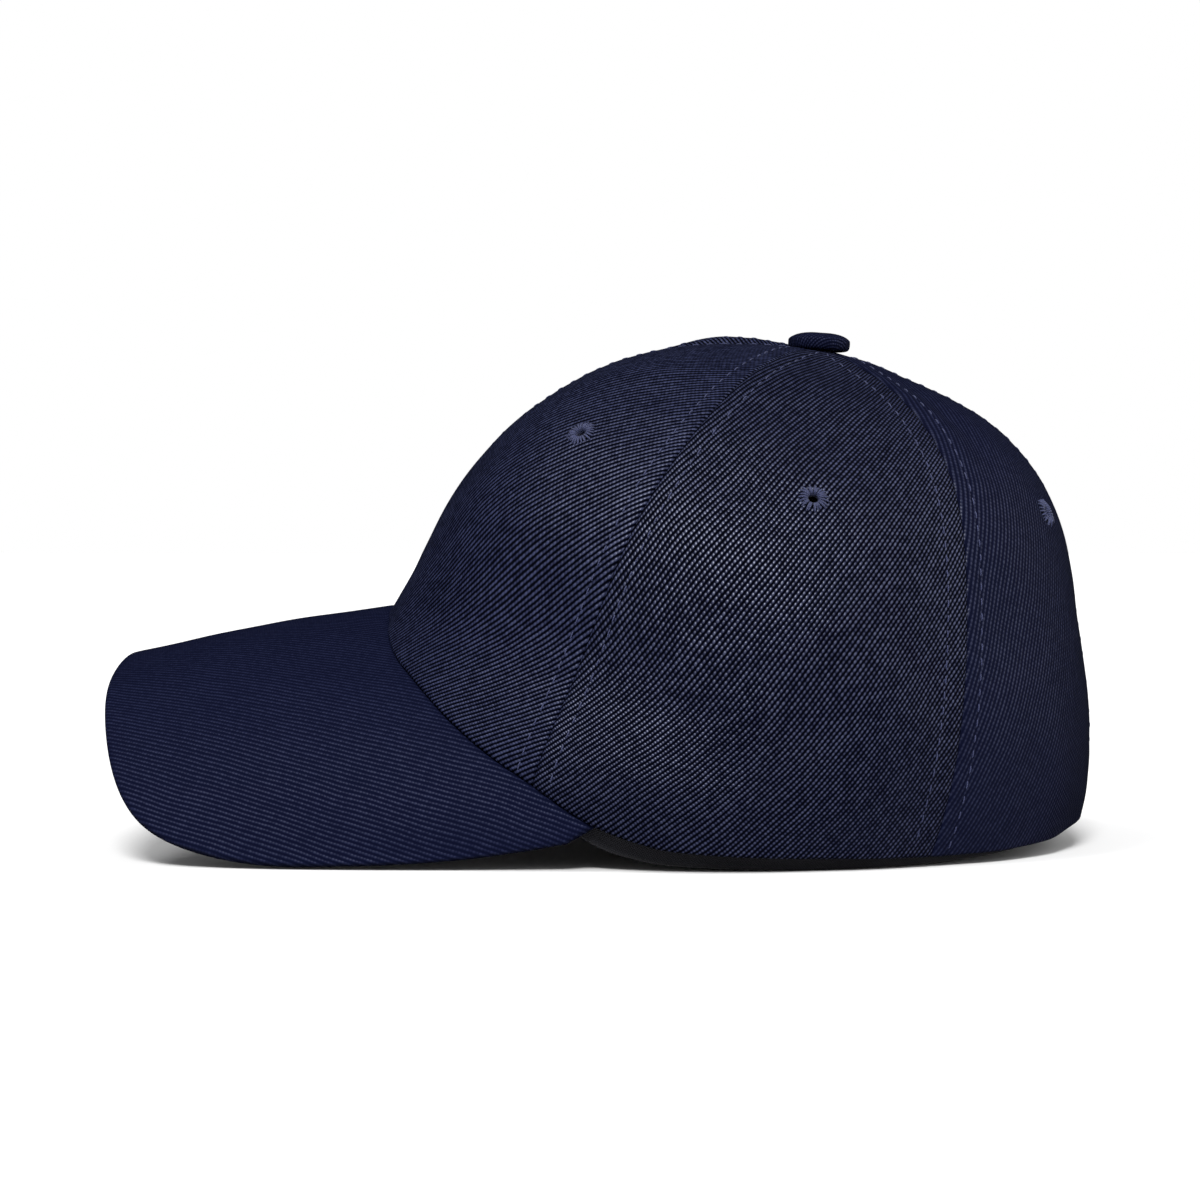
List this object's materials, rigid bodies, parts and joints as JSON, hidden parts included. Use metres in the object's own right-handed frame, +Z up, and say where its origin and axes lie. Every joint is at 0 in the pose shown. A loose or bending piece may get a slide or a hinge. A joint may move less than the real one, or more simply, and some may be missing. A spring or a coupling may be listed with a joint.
{
  "type": "baseball cap",
  "caption": "Structured fitted cap with a domed panelled crown, covered top button, sewn eyelets and a strongly arched visor, standing on a flat surface.",
  "frame": {"origin": "on the ground, under the middle of the cap's overall length and width as it stands on the lower fold of its sweatband and the sides of its visor", "axes": "+X forward, towards the front edge of the visor; +Y towards the wearer's left; +Z up"},
  "size_m": [0.2614, 0.173, 0.1378],
  "materials": {
    "crown_twill": "navy twill with raised diagonal ribs",
    "visor_twill": "navy twill, smoother than the crown",
    "thread": "navy sewing thread, slightly lustrous",
    "buckram": "stiff open-weave backing",
    "tape": "plain woven tape",
    "sweatband_cloth": "fine plain twill",
    "band_core": "soft non-woven core",
    "button_metal": "pressed, satin",
    "board": "moulded polyethylene, matte"
  },
  "bodies": {
    "root": {"panel_front_left": "crown_twill", "panel_front_right": "crown_twill", "panel_side_left": "crown_twill", "panel_side_right": "crown_twill", "panel_rear_left": "crown_twill", "panel_rear_right": "crown_twill", "buckram_front_left": "buckram", "buckram_front_right": "buckram", "eyelet_front_left": "thread", "eyelet_front_right": "thread", "eyelet_side_left": "thread", "eyelet_side_right": "thread", "eyelet_rear_left": "thread", "eyelet_rear_right": "thread", "seam_tape_front": "tape", "seam_tape_rear": "tape", "seam_tape_left_front": "tape", "seam_tape_left_rear": "tape", "seam_tape_right_front": "tape", "seam_tape_right_rear": "tape", "sweatband": "sweatband_cloth", "sweatband_core": "band_core", "button_cover": "crown_twill", "button_core": "button_metal", "button_washer": "button_metal", "visor_top": "visor_twill", "visor_under": "visor_twill", "visor_seam": "visor_twill", "visor_board": "board"}
  },
  "joints": []
}
